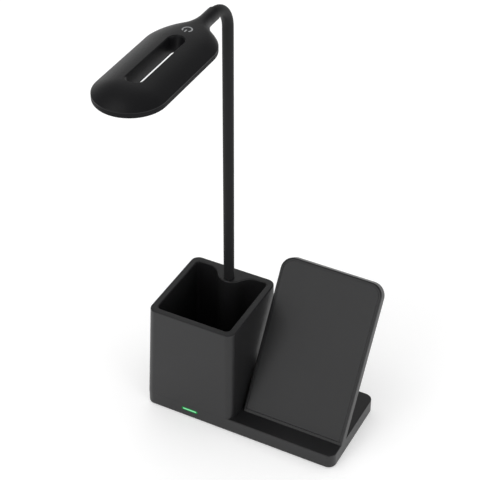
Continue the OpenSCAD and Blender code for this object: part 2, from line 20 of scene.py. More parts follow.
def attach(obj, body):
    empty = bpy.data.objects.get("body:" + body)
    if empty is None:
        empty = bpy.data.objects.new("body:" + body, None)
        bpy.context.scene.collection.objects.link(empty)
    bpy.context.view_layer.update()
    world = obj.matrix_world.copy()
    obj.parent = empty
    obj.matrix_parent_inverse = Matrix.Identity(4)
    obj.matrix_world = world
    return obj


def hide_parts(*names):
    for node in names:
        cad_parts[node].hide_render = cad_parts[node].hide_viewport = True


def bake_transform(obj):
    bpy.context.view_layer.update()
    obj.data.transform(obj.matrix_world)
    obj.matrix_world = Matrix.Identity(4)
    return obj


Edge, Face, Vert = bmesh.types.BMEdge, bmesh.types.BMFace, bmesh.types.BMVert
Socket, Tree = bpy.types.NodeSocket, bpy.types.NodeTree

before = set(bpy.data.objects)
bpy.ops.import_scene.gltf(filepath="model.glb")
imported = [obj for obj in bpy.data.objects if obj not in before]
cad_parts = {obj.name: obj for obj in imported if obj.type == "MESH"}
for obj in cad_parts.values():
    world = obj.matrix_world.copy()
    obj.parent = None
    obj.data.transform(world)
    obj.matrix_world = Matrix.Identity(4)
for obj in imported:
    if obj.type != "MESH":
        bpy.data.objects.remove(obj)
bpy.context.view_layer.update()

LOG = logging.getLogger("desk_lamp")
MM = 0.001
# Edges sharper than this stay sharp
SMOOTH_ANGLE = math.radians(34)
# Places closer than this count as one, in millimetres
NEAR = 0.01
# Points that are merged, and edges that are dissolved, in millimetres
MERGE, SLIVER = 0.0005, 0.0002
# How often a row of joins is made at most, until it leaves a closed mesh
JOIN_TRIES = 10
# A face counts as level from this z of its normal on
LEVEL = 0.9
# How far the cup and the plate stay inside the base's sides, in millimetres
SKIN = 0.02
# Sockets of the colour mix node
MIX_FACTOR, MIX_A, MIX_B, MIX_RESULT = 0, 6, 7, 2


def linear(colour: str) -> tuple[float, float, float, float]:
    """Turn an sRGB hex colour into the linear values that a shader takes.

    Args:
        colour: Six hex digits after a hash sign.

    Returns:
        Red, green, blue and an alpha of one.
    """
    channels = [int(colour[i:i + 2], 16) / 255 for i in (1, 3, 5)]
    red, green, blue = (
        c / 12.92 if c <= 0.04045 else ((c + 0.055) / 1.055) ** 2.4 for c in channels
    )
    return red, green, blue, 1.0


def per_metre(size_mm: float) -> float:
    """Return the texture scale that gives a pattern of that size in millimetres."""
    return 1.0 / (size_mm * MM)


def turned(degrees: float, axis: str) -> Matrix:
    """Return the turn about an axis by an angle in degrees."""
    return Matrix.Rotation(math.radians(degrees), 4, axis)


def add_object(name: str, data: bpy.types.ID) -> bpy.types.Object:
    """Put new data into the scene, at the origin.

    Args:
        name: Name of the object.
        data: The mesh, camera or light that it shows.

    Returns:
        The new object.
    """
    made = bpy.data.objects.new(name, data)
    bpy.context.scene.collection.objects.link(made)
    return made


def add_node(
    tree: Tree, kind: str, values: Optional[Mapping] = None,
    links: Optional[Mapping] = None, **settings: object,
) -> bpy.types.Node:
    """Add a node with its settings, socket values and incoming links.

    Args:
        tree: Node tree that takes the node.
        kind: Type of the node, without the ShaderNode in front.
        values: Constants by input name or number.
        links: Output sockets by input name or number.
        settings: Attributes of the node itself.

    Returns:
        The new node.
    """
    node = tree.nodes.new(f"ShaderNode{kind}")
    for name, value in settings.items():
        setattr(node, name, value)
    for key, value in (values or {}).items():
        node.inputs[key].default_value = value
    for key, socket in (links or {}).items():
        tree.links.new(socket, node.inputs[key])
    return node


# ---------------------------------------------------------------- finishes


@dataclass(frozen=True)
class Coat:
    """A material in the making: node tree, shader and object coordinates in metres."""

    tree: Tree
    shader: bpy.types.Node
    place: Socket

    def set(self, values: Mapping[str, object]) -> None:
        """Set constants on the shader's own sockets."""
        for name, value in values.items():
            self.shader.inputs[name].default_value = value

    def feed(self, name: str, socket: Socket) -> None:
        """Link a pattern to one of the shader's sockets."""
        self.tree.links.new(socket, self.shader.inputs[name])

    def noise(self, size_mm: float, detail: float) -> Socket:
        """Return a cloud from zero to one, of that size and fineness."""
        return add_node(
            self.tree, "TexNoise", {"Scale": per_metre(size_mm), "Detail": detail},
            {"Vector": self.place}).outputs[0]

    def mix(self, factor: Socket, first: str, second: str) -> Socket:
        """Return the mixture of two colours, by a factor that runs to the second."""
        return add_node(
            self.tree, "Mix", {MIX_A: linear(first), MIX_B: linear(second)},
            {MIX_FACTOR: factor}, data_type="RGBA").outputs[MIX_RESULT]

    def mottle(self, first: str, second: str, size_mm: float) -> None:
        """Let the base colour drift between two close shades, in clouds of that size."""
        self.feed("Base Color", self.mix(self.noise(size_mm, detail=3.0), first, second))

    def relief(self, height: Socket, depth_mm: float) -> None:
        """Bump the surface by a height pattern, one of whose units is so deep."""
        bump = add_node(
            self.tree, "Bump", {"Strength": 1.0, "Distance": depth_mm * MM},
            {"Height": height})
        self.feed("Normal", bump.outputs["Normal"])

    def rough(self, pattern: Socket, middle: float, spread: float) -> None:
        """Let the roughness follow a pattern.

        Args:
            pattern: Values from zero to one.
            middle: Middle roughness.
            spread: Difference between the lowest and highest roughness.
        """
        span = add_node(
            self.tree, "MapRange",
            {"To Min": middle - spread / 2, "To Max": middle + spread / 2},
            {"Value": pattern})
        self.feed("Roughness", span.outputs["Result"])


@dataclass(frozen=True)
class Finish:
    """What every finish has: a name, a colour, a roughness and a refractive index."""

    name: str
    colour: str
    roughness: float = 0.5
    ior: float = 1.5

    def material(self) -> bpy.types.Material:
        """Return the finish's material, made once.

        Returns:
            The material with its pattern.
        """
        found = bpy.data.materials.get(self.name)
        if found:
            return found
        made = bpy.data.materials.new(self.name)
        made.use_nodes = True
        tree = made.node_tree
        place = add_node(tree, "TexCoord").outputs["Object"]
        coat = Coat(tree, tree.nodes["Principled BSDF"], place)
        coat.set({"Base Color": linear(self.colour), "Roughness": self.roughness})
        self.dress(coat)
        return made

    def dress(self, coat: Coat) -> None:
        """Add the finish's own pattern to its coat."""
        raise NotImplementedError


@dataclass(frozen=True)
class MouldedPlastic(Finish):
    """ABS or silicone from a spark-eroded mould, whose fine grain makes it matt."""

    shade: str = "#000000"
    cloud_mm: float = 30.0
    grain_mm: float = 0.9
    depth_mm: float = 0.02
    spread: float = 0.12
    sheen: float = 0.0
    specular: float = 0.5

    def dress(self, coat: Coat) -> None:
        """Add the mould's grain and the faint flow clouds.

        Args:
            coat: The material in the making.
        """
        coat.set({"IOR": self.ior, "Specular IOR Level": self.specular,
                  "Sheen Weight": self.sheen, "Sheen Roughness": 0.4})
        coat.mottle(self.colour, self.shade, self.cloud_mm)
        # The real grain is 0.1 mm wide: it is drawn coarser, so that it shows at all
        grain = coat.noise(self.grain_mm, detail=4.0)
        coat.rough(grain, self.roughness, self.spread)
        coat.relief(grain, self.depth_mm)


class Cut(Enum):
    """How a metal's surface was made, with the profile of its marks."""

    PLATED = "NOISE"
    TURNED = "SAW"
    WOUND = "SIN"


@dataclass(frozen=True)
class Metal(Finish):
    """Bare, plated or turned metal."""

    cut: Cut = Cut.PLATED
    pitch_mm: float = 0.4
    depth_mm: float = 0.01
    spread: float = 0.16

    def dress(self, coat: Coat) -> None:
        """Add the marks of the tool or the winding.

        Args:
            coat: The material in the making.
        """
        coat.set({"Metallic": 1.0})
        if self.cut is Cut.PLATED:
            marks = coat.noise(self.pitch_mm, detail=3.0)
        else:
            marks = add_node(
                coat.tree, "TexWave",
                {"Scale": per_metre(self.pitch_mm) / (2 * math.pi), "Distortion": 0.0},
                {"Vector": coat.place}, bands_direction="Z", wave_profile=self.cut.value,
            ).outputs["Fac"]
        coat.rough(marks, self.roughness, self.spread)
        coat.relief(marks, self.depth_mm)


@dataclass(frozen=True)
class CircuitBoard(Finish):
    """Glass-fibre laminate under solder resist, with tracks that show through it."""

    track: str = "#3f8a5c"
    grid_mm: float = 3.0
    track_share: float = 0.07
    depth_mm: float = 0.03

    def dress(self, coat: Coat) -> None:
        """Add tracks 0.4 mm wide on a 3 mm grid.

        Args:
            coat: The material in the making.
        """
        tracks = add_node(
            coat.tree, "TexBrick",
            {"Color1": linear(self.colour), "Color2": linear(self.colour),
             "Mortar": linear(self.track), "Scale": per_metre(self.grid_mm),
             "Mortar Size": self.track_share, "Brick Width": 2.0, "Row Height": 1.0},
            {"Vector": coat.place})
        coat.feed("Base Color", tracks.outputs["Color"])
        coat.relief(tracks.outputs["Fac"], self.depth_mm)


@dataclass(frozen=True)
class OpalAcrylic(Finish):
    """Cast acrylic filled with white pigment, whose surface is satin."""

    shade: str = "#ffffff"
    cloud_mm: float = 12.0
    satin_mm: float = 0.6
    spread: float = 0.08
    scatter: float = 0.3
    scatter_mm: float = 1.0

    def dress(self, coat: Coat) -> None:
        """Add the depth that light gives to the sheet.

        Args:
            coat: The material in the making.
        """
        coat.set({"IOR": self.ior, "Subsurface Weight": self.scatter,
                  "Subsurface Scale": self.scatter_mm * MM})
        coat.mottle(self.colour, self.shade, self.cloud_mm)
        coat.rough(coat.noise(self.satin_mm, detail=2.0), self.roughness, self.spread)


@dataclass(frozen=True)
class LitLens(Finish):
    """A clear green lens over a lit strip: bright along its middle, deep at its edge."""

    glow: str = "#8fe3ad"
    centre: tuple[float, float, float] = (-36.4, -33.0, 6.7)
    half_line: float = 4.5
    core_mm: float = 0.15
    edge_mm: float = 0.85
    specular: float = 0.1

    def dress(self, coat: Coat) -> None:
        """Fade the glow with the distance from the lit line.

        Args:
            coat: The material in the making.
        """
        distance = coat.place
        for operation, value in (
            ("SUBTRACT", Vector(self.centre) * MM),
            ("ABSOLUTE", Vector()),
            ("SUBTRACT", Vector((self.half_line * MM, 0, 0))),
            ("MAXIMUM", Vector()),
            ("MULTIPLY", Vector((1, 0, 1))),
        ):
            distance = add_node(
                coat.tree, "VectorMath", {1: value}, {0: distance}, operation=operation
            ).outputs["Vector"]
        away = add_node(coat.tree, "VectorMath", links={0: distance}, operation="LENGTH")
        fade = add_node(
            coat.tree, "MapRange",
            {"From Min": self.core_mm * MM, "From Max": self.edge_mm * MM,
             "To Min": 1.0, "To Max": 0.0},
            {"Value": away.outputs["Value"]}, interpolation_type="SMOOTHSTEP")
        coat.feed("Emission Color", coat.mix(fade.outputs["Result"], self.colour, self.glow))
        coat.set({"IOR": self.ior, "Specular IOR Level": self.specular,
                  "Emission Strength": 1.0})


# Each comment says what the finish gives the eye.
# Satin charcoal whose fine grain breaks the lamps' reflections on base, cup and plate
CASING = MouldedPlastic(
    "charcoal_moulded_abs", "#19191a", 0.4, shade="#1e1e1f", depth_mm=0.03, specular=0.43)
# Darker and calmer than the casing, so that the dome reads as one soft gradient
SHELL = MouldedPlastic(
    "black_moulded_abs", "#0f0f11", 0.4, shade="#141416", grain_mm=1.3, depth_mm=0.05,
    specular=0.25)
# The same black, but flatter: it frames the head with a quiet edge below the seam
BEZEL = MouldedPlastic(
    "satin_black_abs", "#0f0f11", 0.55, shade="#141416", grain_mm=1.3, depth_mm=0.05,
    specular=0.12)
# Dull and smooth, with a faint bloom of sheen at its edges, as rubber has
SLEEVE = MouldedPlastic(
    "black_silicone_rubber", "#1a1a1b", 0.6, ior=1.43, shade="#1d1d1e",
    grain_mm=0.7, depth_mm=0.008, sheen=0.05, specular=0.2)
# Open-pored and without any shine, the dark line under the base
PAD = MouldedPlastic(
    "black_foamed_rubber", "#1c1c1c", 0.8, shade="#222222", grain_mm=0.8, depth_mm=0.08)
# Matt grey-black blocks that stand out from the green boards
PACKAGE = MouldedPlastic("epoxy_chip_package", "#1d1d1e", 0.6, shade="#242425")
# Lemon yellow squares, the one warm colour under the diffuser
PHOSPHOR = MouldedPlastic("phosphor_in_silicone", "#f1db62", 0.4, shade="#eccb48", depth_mm=0.01)
# Pale flat lines that stand clear against the black shell
INK = MouldedPlastic("printed_grey_ink", "#9c9ea0", 0.5, shade="#929496", depth_mm=0.004)
# Brownish dark grey with the coarse speckle of pressed powder
FERRITE = MouldedPlastic("sintered_ferrite", "#3d3c3a", 0.6, shade="#484644", grain_mm=0.6)
# Milky white with a little depth, brightest where light enters it
OPAL = OpalAcrylic("opal_acrylic", "#eeeeea", 0.35, ior=1.49)
# A small green light: pale along its middle, deep green at its edge
LENS = LitLens("green_lit_lens", "#04602a", 0.3, ior=1.49)
# Dark green with lighter tracks below its gloss
BOARD = CircuitBoard("solder_resist_laminate", "#1c5a36", 0.35)
# Cool grey metal with the slight cloud of a plated layer
ZINC = Metal("zinc_plated_steel", "#b4b6b8", 0.35)
# Rings of light and shade that follow the winding
HOSE = Metal(
    "wound_steel_hose", "#a9abae", 0.38, cut=Cut.WOUND, pitch_mm=1.6, depth_mm=0.05)
# Warm yellow metal with the fine rings of the lathe tool
BRASS = Metal("turned_brass", "#c79f4c", 0.3, cut=Cut.TURNED, pitch_mm=0.3)
# Reddish brown wire under a clear coat of enamel
COPPER = Metal("enamelled_copper_wire", "#b3672f", 0.35, pitch_mm=0.8)


# ------------------------------------------------------------ mesh workshop


class Join(Enum):
    """How two solids are combined."""

    ADD = "UNION"
    CUT = "DIFFERENCE"


def widest(faces: Iterable[Face]) -> Face:
    """Return the face with the largest area."""
    return max(faces, key=lambda face: face.calc_area())


def ends_of(edges: Iterable[Edge]) -> set[Vert]:
    """Return the points that a set of edges joins."""
    return {vert for edge in edges for vert in edge.verts}


class Workpiece:
    """A closed mesh in the making, in millimetres."""

    def __init__(self) -> None:
        """Start with an empty mesh."""
        self.bm = bmesh.new()

    def rounded_face(
        self, low: Sequence[float], high: Sequence[float], z: float,
        radii: Sequence[float], segments: int = 8,
    ) -> Face:
        """Make a flat rectangle with rounded corners, facing up.

        Args:
            low: Lowest x and y.
            high: Highest x and y.
            z: Height of the face.
            radii: Radius of the two front corners and of the two back corners.
            segments: Steps round each corner.

        Returns:
            The face.
        """
        grid = bmesh.ops.create_grid(self.bm, x_segments=1, y_segments=1, size=0.5)["verts"]
        size = Vector((high[0] - low[0], high[1] - low[1], 1.0))
        centre = Vector(((low[0] + high[0]) / 2, (low[1] + high[1]) / 2, z))
        bmesh.ops.scale(self.bm, vec=size, verts=grid)
        bmesh.ops.translate(self.bm, vec=centre, verts=grid)
        face = grid[0].link_faces[0]
        corners = {row: [v for v in grid if (v.co.y > centre.y) == row] for row in (False, True)}
        for row, radius in zip((False, True), radii):
            if radius <= 0:
                continue
            made = bmesh.ops.bevel(
                self.bm, geom=corners[row], offset=radius, offset_type="OFFSET",
                segments=segments, profile=0.5, affect="VERTICES", material=-1,
                clamp_overlap=False)
            face = widest({f for v in made["verts"] for f in v.link_faces})
        return face

    def pull(self, edges: Iterable[Edge], place: Callable[[Vector], Vector]) -> list[Edge]:
        """Extrude a loop of edges and move the new one.

        Args:
            edges: Edges of the loop.
            place: Gives the new place of each point.

        Returns:
            The edges of the new loop.
        """
        made = bmesh.ops.extrude_edge_only(self.bm, edges=list(edges))["geom"]
        for vert in (g for g in made if isinstance(g, Vert)):
            vert.co = place(vert.co)
        return [g for g in made if isinstance(g, Edge)]

    def push(self, face: Face, vector: Vector, keep: bool = False) -> Face:
        """Extrude one face along a vector.

        Args:
            face: Face that is pushed.
            vector: How far the new face lies from the old one.
            keep: Whether the old face stays.

        Returns:
            The new face.
        """
        made = bmesh.ops.extrude_face_region(self.bm, geom=[face], use_keep_orig=keep)["geom"]
        verts = [g for g in made if isinstance(g, Vert)]
        bmesh.ops.translate(self.bm, vec=vector, verts=verts)
        if face.is_valid and not keep:
            self.drop(face)
        return next(g for g in made if isinstance(g, Face))

    def block(self, face: Face, height: float) -> "Workpiece":
        """Turn a flat face into a closed block.

        Args:
            face: The block's lower face.
            height: Height of the block.

        Returns:
            This workpiece.
        """
        self.push(face, Vector((0, 0, height)), keep=True)
        self.outward()
        return self

    def sink(self, face: Face, margin: float, depth: float) -> Face:
        """Inset a face and push the middle in, against its normal.

        Args:
            face: Face that gets the recess.
            margin: Width of the rim that stays.
            depth: Depth of the recess.

        Returns:
            The recess's floor.
        """
        self.inset(face, margin)
        return self.push(face, -face.normal * depth)

    def inset(self, face: Face, margin: float) -> None:
        """Draw a face in and leave a flat rim of that width round it."""
        bmesh.ops.inset_region(self.bm, faces=[face], thickness=margin, use_even_offset=True)

    def drop(self, *faces: Face) -> None:
        """Delete faces and keep their edges."""
        bmesh.ops.delete(self.bm, geom=list(faces), context="FACES_ONLY")

    def round_edges(self, edges: Iterable[Edge], radius: float, segments: int = 4) -> None:
        """Round edges to a radius."""
        bmesh.ops.bevel(
            self.bm, geom=list(edges), offset=radius, offset_type="OFFSET",
            segments=segments, profile=0.5, affect="EDGES", material=-1, clamp_overlap=True)

    def edges_at(self, z: float) -> list[Edge]:
        """Return the edges that lie at a height."""
        return [e for e in self.bm.edges if all(abs(v.co.z - z) < NEAR for v in e.verts)]

    def flat_face(self, way: int) -> Face:
        """Return the largest flat face that looks up, for 1, or down, for -1."""
        return widest(f for f in self.bm.faces if f.normal.z * way > LEVEL)

    def fill(self, edges: Iterable[Edge]) -> None:
        """Close a loop of edges with one face."""
        bmesh.ops.edgeloop_fill(self.bm, edges=edges)

    def outward(self) -> None:
        """Merge doubles and turn all faces outwards."""
        bmesh.ops.remove_doubles(self.bm, verts=self.bm.verts[:], dist=MERGE)
        bmesh.ops.recalc_face_normals(self.bm, faces=self.bm.faces[:])

    def place(self, matrix: Matrix) -> None:
        """Move the whole mesh by a matrix."""
        bmesh.ops.transform(self.bm, matrix=matrix, verts=self.bm.verts[:])

    def cut_across(self, point: Vector, normal: Vector, trim: bool) -> None:
        """Cut the mesh along a plane.

        Args:
            point: A point of the plane.
            normal: The plane's normal.
            trim: Whether what lies on the normal's side goes and the cut is closed.
        """
        geom = self.bm.verts[:] + self.bm.edges[:] + self.bm.faces[:]
        cut = bmesh.ops.bisect_plane(
            self.bm, geom=geom, plane_co=point, plane_no=normal, clear_outer=trim
        )["geom_cut"]
        if trim:
            rim = [g for g in cut if isinstance(g, Edge)]
            bmesh.ops.holes_fill(self.bm, edges=rim, sides=0)
            self.outward()

    def _stand_in(self) -> bpy.types.Object:
        """Return a temporary object that holds a copy of the mesh.

        Returns:
            The object.
        """
        mesh = bpy.data.meshes.new("stand_in")
        self.bm.to_mesh(mesh)
        return add_object("stand_in", mesh)

    def join(self, other: "Workpiece", how: Join) -> None:
        """Combine this solid with another one, which is used up.

        Args:
            other: The second solid.
            how: Whether it is added or cut away.
        """
        base, tool = self._stand_in(), other._stand_in()
        cut = base.modifiers.new("join", "BOOLEAN")
        cut.operation, cut.object, cut.solver = how.value, tool, "EXACT"
        graph = bpy.context.evaluated_depsgraph_get()
        made = bpy.data.meshes.new_from_object(base.evaluated_get(graph))
        self.bm.clear()
        self.bm.from_mesh(made)
        bmesh.ops.dissolve_degenerate(self.bm, dist=SLIVER, edges=self.bm.edges[:])
        for used in (base, tool):
            bpy.data.objects.remove(used)
        other.bm.free()

    def closed(self) -> bool:
        """Return whether each edge joins two faces."""
        return all(len(edge.link_faces) == 2 for edge in self.bm.edges)

    def part(
        self, name: str, finish: Finish, slot: Optional[str], body: Optional[str],
        *nodes: str,
    ) -> bpy.types.Object:
        """Turn the mesh into an object in metres, smooth apart from its sharp edges.

        Args:
            name: Name of the piece.
            finish: What it is made of.
            slot: Not used.
            body: The body that it rides on, if it rides on one alone.
            nodes: Nodes of the frame that it replaces.

        Returns:
            The object, at the origin, unturned and unscaled.
        """
        bmesh.ops.scale(self.bm, vec=Vector((MM, MM, MM)), verts=self.bm.verts[:])
        for face in self.bm.faces:
            face.smooth = True
        mesh = bpy.data.meshes.new(name)
        self.bm.to_mesh(mesh)
        self.bm.free()
        mesh.set_sharp_from_angle(angle=SMOOTH_ANGLE)
        mesh.materials.append(finish.material())
        made = add_object(name, mesh)
        made.modifiers.new("flat_faces_stay_flat", "WEIGHTED_NORMAL").keep_sharp = True
        if body:
            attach(made, body)
        if nodes:
            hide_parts(*nodes)
        LOG.info("%s: %d faces in %s", name, len(mesh.polygons), finish.name)
        return made


def oval(
    half_x: float, half_y: float, mid_y: float, low: float, high: float, segments: int = 8
) -> Workpiece:
    """Make an upright prism whose short sides are fully rounded.

    Args:
        half_x: Half its width.
        half_y: Half its depth.
        mid_y: Where its middle lies along y.
        low: Height of its lower face.
        high: Height of its upper face.
        segments: Steps round each quarter.

    Returns:
        The closed solid.
    """
    made = Workpiece()
    radius = min(half_x, half_y)
    return made.block(made.rounded_face(
        (-half_x, mid_y - half_y), (half_x, mid_y + half_y), low, (radius, radius), segments,
    ), high - low)


# ------------------------------------------------------------------- casing


@dataclass(frozen=True)
class Level:
    """A rectangle with rounded corners at a height, even about the y axis' zero."""

    left: float
    right: float
    half_depth: float
    corner: float
    z: float

    def carry(self, point: Vector, other: "Level") -> Vector:
        """Return the place on another level that answers to a point of this one.

        Args:
            point: Point on this outline.
            other: Level that takes it.

        Returns:
            Its place there: straight edges stretch and corners keep their angle.
        """
        half, other_half = (self.right - self.left) / 2, (other.right - other.left) / 2
        x = point.x - (self.left + self.right) / 2
        core_x = max(self.corner - half, min(half - self.corner, x))
        reach = self.half_depth - self.corner
        core_y = max(-reach, min(reach, point.y))
        return Vector((
            (other.left + other.right) / 2
            + core_x * (other_half - other.corner) / (half - self.corner)
            + (x - core_x) * other.corner / self.corner,
            core_y * (other.half_depth - other.corner) / reach
            + (point.y - core_y) * other.corner / self.corner,
            other.z))


@dataclass
class Casing:
    """The moulded base with the pen cup and the sloping plate."""

    half_width: float = 70.0
    half_depth: float = 33.0
    foot_z: float = 0.8
    ceiling_z: float = 8.8
    deck_z: float = 11.2
    cover_recess: float = 1.8
    corner: float = 5.6
    edge: float = 0.8
    wall: float = 2.4
    gap: float = 0.15

    rim_z: float = 83.6
    rim_wall: float = 4.5
    cup_right: float = -4.0
    cup_floor: float = 0.1
    cup_fillet: float = 1.2
    lean_outer: float = 3.4
    lean_inner: float = 0.6
    lean_front: float = 0.7
    # Share of the wall by which the cup's corners are tighter inside than outside
    corner_share: float = 0.55
    # Least angle, in radians, at which an edge of the rim gets rounded
    rim_angle: float = 1.0

    bulge_radius: float = 10.0
    bulge_wall: float = 1.4
    bulge_fillet: float = 12.0
    bulge_cuts: int = 47
    neck: tuple[float, float] = (-35.0, 21.8)
    neck_radius: float = 3.55
    shaft_low: float = 43.6
    shaft_length: float = 60.0

    stand_x: float = 33.8
    stand_y: float = -20.4
    stand_width: float = 72.4
    stand_length: float = 109.4
    stand_thick: float = 7.3
    stand_tilt: float = 58.0
    stand_corner: float = 9.0
    stand_edge: float = 1.0
    stand_root: float = 7.0
    stand_low_z: float = 9.4
    panel_rim: float = 1.8
    panel_foot: float = 0.95
    panel_thick: float = 2.0
    panel_edge: float = 0.25
    panel_corner: float = 0.4
    tray_wall: float = 2.0

    # Openings in the base's faces: x, y and z of the middle, half length, half height
    window: tuple[float, ...] = (-36.4, -33.0, 6.7, 6.15, 1.25)
    inlet: tuple[float, ...] = (-50.0, 33.0, 6.4, 4.65, 1.75)
    opening_reach: float = 6.0

    def base(self) -> Workpiece:
        """Return the flat base, hollow from below.

        Returns:
            The closed solid.
        """
        made = Workpiece()
        face = made.rounded_face(
            (-self.half_width, -self.half_depth), (self.half_width, self.half_depth),
            self.foot_z, (self.corner, self.corner))
        made.block(face, self.deck_z - self.foot_z)
        made.round_edges(made.edges_at(self.deck_z), self.edge)
        made.round_edges(made.edges_at(self.foot_z), self.edge / 2, 3)
        made.outward()
        recess = made.sink(made.flat_face(-1), self.wall - self.edge / 2, self.cover_recess)
        made.sink(recess, self.wall / 2, self.ceiling_z - self.foot_z - self.cover_recess)
        return made

    def bulge_line(self, x: float) -> float:
        """Return how far the cup's back wall stands out at x, from its flat face.

        Args:
            x: Distance from the neck's axis.

        Returns:
            The wall's y, with the neck's axis at zero.
        """
        back = self.half_depth - self.lean_front - self.rim_wall - self.neck[1]
        nose_y = self.bulge_radius - self.neck_radius - self.bulge_wall
        fillet_y = back - self.bulge_fillet
        reach = self.bulge_radius + self.bulge_fillet
        fillet_x = math.sqrt(reach**2 - (nose_y - fillet_y) ** 2)
        x = abs(x)
        if x < fillet_x * self.bulge_radius / reach:
            return nose_y - math.sqrt(self.bulge_radius**2 - x * x)
        if x < fillet_x:
            return fillet_y + math.sqrt(self.bulge_fillet**2 - (x - fillet_x) ** 2)
        return back

    def level(self, share: float, inset: float, z: float) -> Level:
        """Return one level of the cup, drawn in by the wall's lean and an inset."""
        return Level(
            SKIN - self.half_width + self.lean_outer * share + inset,
            self.cup_right - self.lean_inner * share - inset,
            self.half_depth - SKIN - self.lean_front * share - inset,
            self.corner - inset * self.corner_share, z)

    def cup(self) -> Workpiece:
        """Return the cup: leaning walls, an even rim and the bulge for the neck.

        Returns:
            The closed solid.
        """
        made = Workpiece()
        start = self.level(0, 0, (self.ceiling_z + self.deck_z) / 2)
        mouth = self.level(1, self.rim_wall, self.rim_z)
        floor = self.level(0, self.rim_wall, self.deck_z + self.cup_floor)
        face = made.rounded_face(
            (start.left, -start.half_depth), (start.right, start.half_depth), start.z,
            (start.corner, start.corner))
        # The back edge is divided, so that it can take the line of the bulge
        back = max(face.edges, key=lambda e: sum(v.co.y for v in e.verts))
        bmesh.ops.subdivide_edges(
            made.bm, edges=[back], cuts=self.bulge_cuts, use_grid_fill=False)
        edges, now = face.edges[:], start
        inner: list[tuple[Vert, float]] = []
        for then in (
            self.level(0, 0, self.deck_z), self.level(1, 0, self.rim_z), mouth, floor
        ):
            edges = made.pull(edges, lambda p: now.carry(p, then))
            if then in (mouth, floor):
                inner += [(v, then.half_depth) for v in ends_of(edges)
                          if v.co.y > then.half_depth - NEAR]
            now = then
        nose = self.bulge_line(0)
        for vert, depth in inner:
            line = self.bulge_line(vert.co.x - self.neck[0])
            lean = (depth - mouth.half_depth) / (mouth.half_depth - self.neck[1] - nose)
            vert.co.y = self.neck[1] + line + (line - nose) * lean
        made.fill(edges)
        made.outward()
        made.round_edges(edges, self.cup_fillet, 3)
        made.round_edges(
            [e for e in made.edges_at(self.rim_z)
             if len(e.link_faces) == 2 and e.calc_face_angle(0) > self.rim_angle],
            self.edge)
        made.outward()
        return made

    def on_stand(self) -> Matrix:
        """Return the matrix of the plate's frame: x across, y up the slope, z out."""
        foot = Matrix.Translation((self.stand_x, self.stand_y, self.deck_z))
        return foot @ turned(self.stand_tilt, "X")

    def plate(self) -> Workpiece:
        """Return the sloping plate with the recess for its panel and the coil's tray.

        Returns:
            The closed solid, in its place.
        """
        made = Workpiece()
        half = self.stand_width / 2 - SKIN
        face = made.rounded_face(
            (-half, -self.stand_root), (half, self.stand_length), -self.stand_thick,
            (0.0, self.stand_corner), segments=12)
        made.block(face, self.stand_thick)
        made.round_edges(
            [e for e in made.bm.edges
             if abs(e.verts[0].co.z - e.verts[1].co.z) < NEAR
             and not all(v.co.y < NEAR - self.stand_root for v in e.verts)],
            self.stand_edge)
        made.outward()
        made.cut_across(Vector((0, self.panel_foot, 0)), Vector((0, 1, 0)), trim=False)
        recess = made.sink(
            made.flat_face(1), self.panel_rim - self.panel_foot, self.panel_thick)
        made.sink(recess, self.tray_wall, self.stand_thick - self.panel_thick - self.tray_wall)
        made.place(self.on_stand())
        made.cut_across(Vector((0, 0, self.stand_low_z)), Vector((0, 0, -1)), trim=True)
        return made

    def panel(self) -> None:
        """Make the plate's front panel, a sheet with soft edges."""
        made = Workpiece()
        half = self.stand_width / 2 - self.panel_rim - self.gap
        face = made.rounded_face(
            (-half, self.panel_rim + self.gap), (half, self.stand_length - self.panel_rim),
            -self.panel_thick, (self.panel_corner, self.stand_corner - self.panel_rim),
            segments=12)
        made.block(face, self.panel_thick)
        made.round_edges(made.edges_at(0.0), self.panel_edge, 3)
        made.outward()
        made.place(self.on_stand())
        made.part("stand_panel", CASING, "casing", "base", "charging_panel")

    def build(self) -> None:
        """Build the casing and its panel and dress them."""
        body = self.base()
        body.join(self.cup(), Join.ADD)
        body.join(self.plate(), Join.ADD)
        shaft = Workpiece()
        radius = self.neck_radius + self.gap
        bmesh.ops.create_cone(
            shaft.bm, cap_ends=True, segments=48, radius1=radius, radius2=radius,
            depth=self.shaft_length,
            matrix=Matrix.Translation((*self.neck, self.shaft_low + self.shaft_length / 2)))
        body.join(shaft, Join.CUT)
        for x, y, z, half_long, half_high in (self.window, self.inlet):
            opening = oval(half_long, half_high, 0.0, -self.opening_reach, self.opening_reach)
            opening.place(Matrix.Translation((x, y, z)) @ turned(90, "X"))
            body.join(opening, Join.CUT)
        body.part("casing", CASING, "casing", "base", "housing")
        self.panel()


# --------------------------------------------------------------------- neck


